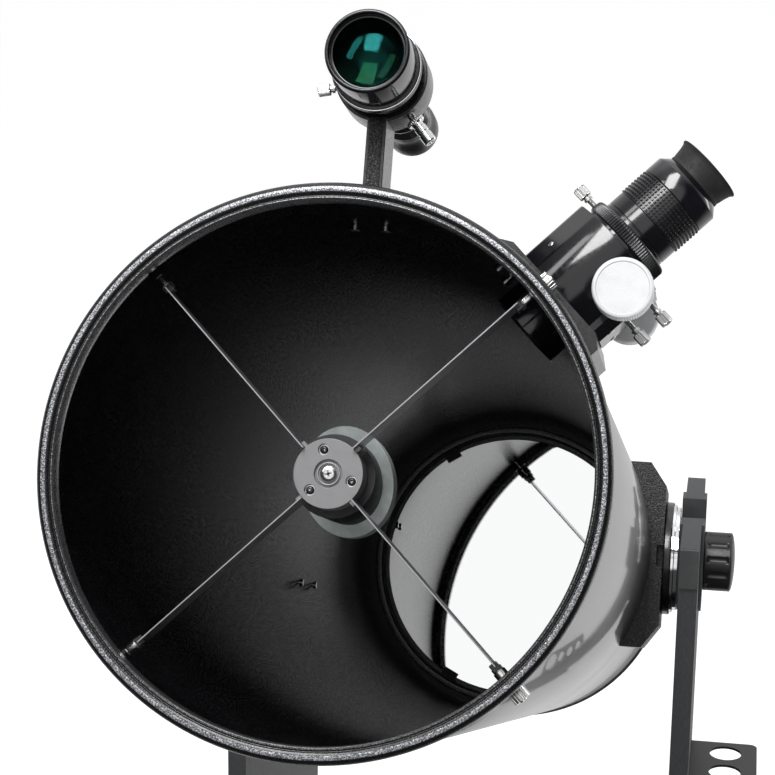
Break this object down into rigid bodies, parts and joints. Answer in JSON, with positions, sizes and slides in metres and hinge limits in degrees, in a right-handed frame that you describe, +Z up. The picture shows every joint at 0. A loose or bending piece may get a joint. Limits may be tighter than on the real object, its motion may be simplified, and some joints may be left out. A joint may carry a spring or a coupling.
{
  "type": "dobsonian telescope",
  "caption": "Reflector telescope on a wooden rocker base that turns on a round ground board, with a finder scope, a geared focuser and a side rack for eyepieces.",
  "frame": {"origin": "on the floor under the azimuth axis, which is the centre of both round boards", "axes": "+Z up, along the azimuth axis; -Y to the front, where the open end of the tube points; +X to the side that carries the eyepiece rack; metres; the tube is raised 22.5 degrees at rest"},
  "size_m": [0.6599, 1.4537, 1.3068],
  "materials": {
    "board_laminate": "dark grey laminated board",
    "panel_laminate": "dark grey laminated board",
    "black_rubber": "moulded black rubber",
    "race_steel": "brushed steel",
    "bright_screw": "bright plated steel",
    "cage_nylon": "natural nylon",
    "black_plastic": "moulded black plastic",
    "knob_plastic": "moulded black plastic with a soft shine",
    "cradle_plastic": "grey plastic liner",
    "black_screw": "blackened steel",
    "rack_paint": "black powder coat",
    "tube_paint": "gloss dark metallic paint outside, flat black inside",
    "ring_paint": "hammered dark grey paint",
    "black_paint": "fine textured black paint",
    "hub_aluminium": "turned grey aluminium",
    "black_anodised": "black anodised aluminium",
    "bearing_chrome": "polished",
    "knob_white": "silver anodised aluminium with a knurled rim",
    "mirror_glass": "aluminised front surface on ground glass",
    "lens_glass": "coated optical glass",
    "fan_plastic": "black plastic"
  },
  "bodies": {
    "ground": {"ground_board": "board_laminate", "ground_feet": "black_rubber", "azimuth_lower_race": "race_steel", "azimuth_pivot_bolt": "bright_screw"},
    "roller_cage": {"azimuth_roller_cage": "cage_nylon", "azimuth_rollers": "race_steel"},
    "azimuth_knob": {"azimuth_knob": "knob_plastic"},
    "rocker": {"rocker_board": "board_laminate", "azimuth_upper_race": "race_steel", "side_panel_left": "panel_laminate", "side_panel_right": "panel_laminate", "front_panel": "panel_laminate", "carry_handle": "black_plastic", "base_screws": "black_screw", "altitude_cradles": "cradle_plastic", "eyepiece_rack": "rack_paint", "altitude_hubs": "black_plastic"},
    "altitude_bearings": {"altitude_plates": "black_anodised", "altitude_races": "bearing_chrome"},
    "altitude_knob_left": {"altitude_knob_left": "knob_plastic"},
    "altitude_knob_right": {"altitude_knob_right": "knob_plastic"},
    "optical_tube": {"optical_tube": "tube_paint", "front_ring": "ring_paint", "rear_ring": "ring_paint", "altitude_brackets": "black_paint", "spider_hub": "hub_aluminium", "spider_vanes": "black_paint", "tube_fasteners": "bright_screw", "finder_shoe": "black_anodised", "focuser_base": "black_anodised", "focuser_housing": "black_anodised", "fan_frame": "fan_plastic"},
    "mirror_cell": {"mirror_cell": "black_paint", "primary_mirror": "mirror_glass", "mirror_clips": "black_plastic"},
    "collimation_knob_1": {"collimation_knob_1": "knob_plastic"},
    "collimation_knob_2": {"collimation_knob_2": "knob_plastic"},
    "collimation_knob_3": {"collimation_knob_3": "knob_plastic"},
    "fan_rotor": {"fan_rotor": "fan_plastic"},
    "secondary": {"secondary_holder": "black_plastic", "secondary_mirror": "mirror_glass"},
    "drawtube": {"focuser_drawtube": "black_anodised", "eyepiece_adapter": "black_anodised"},
    "adapter_thumbscrew": {"adapter_thumbscrew": "bright_screw"},
    "focus_shaft": {"focus_shaft": "bright_screw", "coarse_knobs": "knob_white"},
    "fine_knob": {"fine_knob": "knob_white"},
    "focus_lock_screw": {"focus_lock_screw": "bright_screw"},
    "focus_tension_screw": {"focus_tension_screw": "bright_screw"},
    "eyepiece": {"eyepiece_body": "black_anodised", "eyepiece_cup": "black_rubber"},
    "finder": {"finder_bracket": "black_anodised", "finder_tube": "black_anodised", "finder_eyepiece": "black_anodised"},
    "finder_objective": {"finder_objective_cell": "black_anodised", "finder_lens": "lens_glass"},
    "finder_lock_ring": {"finder_lock_ring": "black_anodised"},
    "finder_thumbscrew_left": {"finder_thumbscrew_left": "bright_screw"},
    "finder_thumbscrew_top": {"finder_thumbscrew_top": "bright_screw"},
    "finder_plunger": {"finder_plunger": "bright_screw"}
  },
  "joints": [
    {"name": "azimuth", "type": "hinge", "parent": "ground", "child": "rocker", "pos_m": [0, 0, 0.063], "axis": [0, 0, 1], "continuous": true},
    {"name": "roller_cage_turn", "type": "hinge", "parent": "ground", "child": "roller_cage", "pos_m": [0, 0, 0.0485], "axis": [0, 0, 1], "continuous": true},
    {"name": "azimuth_knob_turn", "type": "hinge", "parent": "ground", "child": "azimuth_knob", "pos_m": [0, 0, 0.085], "axis": [0, 0, 1], "range_deg": [-180, 180]},
    {"name": "altitude", "type": "hinge", "parent": "rocker", "child": "altitude_bearings", "pos_m": [0, -0.028, 0.7], "axis": [-1, 0, 0], "range_deg": [-22.5, 67.5]},
    {"name": "balance_slide", "type": "slide", "parent": "altitude_bearings", "child": "optical_tube", "axis": [0, 0.9239, -0.3827], "range_m": [-0.03, 0.03]},
    {"name": "altitude_knob_left_turn", "type": "hinge", "parent": "altitude_bearings", "child": "altitude_knob_left", "pos_m": [-0.244, -0.028, 0.7], "axis": [-1, 0, 0], "range_deg": [-180, 180]},
    {"name": "altitude_knob_right_turn", "type": "hinge", "parent": "altitude_bearings", "child": "altitude_knob_right", "pos_m": [0.244, -0.028, 0.7], "axis": [1, 0, 0], "range_deg": [-180, 180]},
    {"name": "focus", "type": "slide", "parent": "optical_tube", "child": "drawtube", "axis": [0.7071, 0.2706, 0.6533], "range_m": [0, 0.035]},
    {"name": "focus_knobs", "type": "hinge", "parent": "optical_tube", "child": "focus_shaft", "pos_m": [0.17572, -0.69631, 1.11956], "axis": [0, 0.9239, -0.3827], "range_deg": [0, 515]},
    {"name": "fine_focus", "type": "hinge", "parent": "focus_shaft", "child": "fine_knob", "pos_m": [0.17572, -0.63441, 1.09393], "axis": [0, 0.9239, -0.3827], "range_deg": [0, 4630]},
    {"name": "focus_lock_turn", "type": "hinge", "parent": "optical_tube", "child": "focus_lock_screw", "pos_m": [0.19693, -0.69848, 1.11434], "axis": [0.7071, -0.2706, -0.6533], "range_deg": [-180, 180]},
    {"name": "focus_tension_turn", "type": "hinge", "parent": "optical_tube", "child": "focus_tension_screw", "pos_m": [0.18349, -0.70362, 1.10193], "axis": [0.7071, -0.2706, -0.6533], "range_deg": [-180, 180]},
    {"name": "adapter_thumbscrew_turn", "type": "hinge", "parent": "drawtube", "child": "adapter_thumbscrew", "pos_m": [0.14496, -0.66966, 1.18391], "axis": [-0.7071, 0.2706, 0.6533], "range_deg": [-180, 180]},
    {"name": "eyepiece_slide", "type": "slide", "parent": "drawtube", "child": "eyepiece", "axis": [0.7071, 0.2706, 0.6533], "range_m": [0, 0.03]},
    {"name": "finder_slide", "type": "slide", "parent": "optical_tube", "child": "finder", "axis": [0, -0.9239, 0.3827], "range_m": [0, 0.04]},
    {"name": "finder_focus", "type": "hinge", "parent": "finder", "child": "finder_objective", "pos_m": [0, -0.67843, 1.27249], "axis": [0, 0.9239, -0.3827], "range_deg": [-180, 180]},
    {"name": "finder_lock_ring_turn", "type": "hinge", "parent": "finder", "child": "finder_lock_ring", "pos_m": [0, -0.65811, 1.26407], "axis": [0, 0.9239, -0.3827], "range_deg": [-180, 180]},
    {"name": "finder_thumbscrew_left_turn", "type": "hinge", "parent": "finder", "child": "finder_thumbscrew_left", "pos_m": [-0.0413, -0.62777, 1.24322], "axis": [-0.9833, -0.0697, -0.1684], "range_deg": [-180, 180]},
    {"name": "finder_thumbscrew_top_turn", "type": "hinge", "parent": "finder", "child": "finder_thumbscrew_top", "pos_m": [-0.01573, -0.60994, 1.28627], "axis": [-0.3746, 0.3548, 0.8566], "range_deg": [-180, 180]},
    {"name": "finder_plunger_slide", "type": "slide", "parent": "finder", "child": "finder_plunger", "axis": [0.6494, -0.291, -0.7025], "range_m": [0, 0.003], "stiffness_N_per_m": 2000},
    {"name": "collimation", "type": "slide", "parent": "optical_tube", "child": "mirror_cell", "axis": [0, 0.9239, -0.3827], "range_m": [-0.002, 0.002]},
    {"name": "collimation_knob_1_turn", "type": "hinge", "parent": "optical_tube", "child": "collimation_knob_1", "pos_m": [0, 0.41822, 0.37662], "axis": [0, 0.9239, -0.3827], "range_deg": [-725, 725]},
    {"name": "collimation_knob_2_turn", "type": "hinge", "parent": "optical_tube", "child": "collimation_knob_2", "pos_m": [-0.11085, 0.49169, 0.55401], "axis": [0, 0.9239, -0.3827], "range_deg": [-725, 725]},
    {"name": "collimation_knob_3_turn", "type": "hinge", "parent": "optical_tube", "child": "collimation_knob_3", "pos_m": [0.11085, 0.49169, 0.55401], "axis": [0, 0.9239, -0.3827], "range_deg": [-725, 725]},
    {"name": "fan_spin", "type": "hinge", "parent": "optical_tube", "child": "fan_rotor", "pos_m": [0, 0.4635, 0.49641], "axis": [0, 0.9239, -0.3827], "continuous": true},
    {"name": "secondary_turn", "type": "hinge", "parent": "optical_tube", "child": "secondary", "pos_m": [0, -0.80775, 1.02299], "axis": [0, 0.9239, -0.3827], "range_deg": [-15, 15]}
  ],
  "couplings": [
    {"joint": "roller_cage_turn", "follows": "azimuth", "ratio": 0.5},
    {"joint": "focus_knobs", "follows": "focus", "rad_per_m": 256.41},
    {"joint": "fine_focus", "follows": "focus", "rad_per_m": 2307.7},
    {"joint": "collimation_knob_1_turn", "follows": "collimation", "rad_per_m": -6283.2},
    {"joint": "collimation_knob_2_turn", "follows": "collimation", "rad_per_m": -6283.2},
    {"joint": "collimation_knob_3_turn", "follows": "collimation", "rad_per_m": -6283.2}
  ]
}
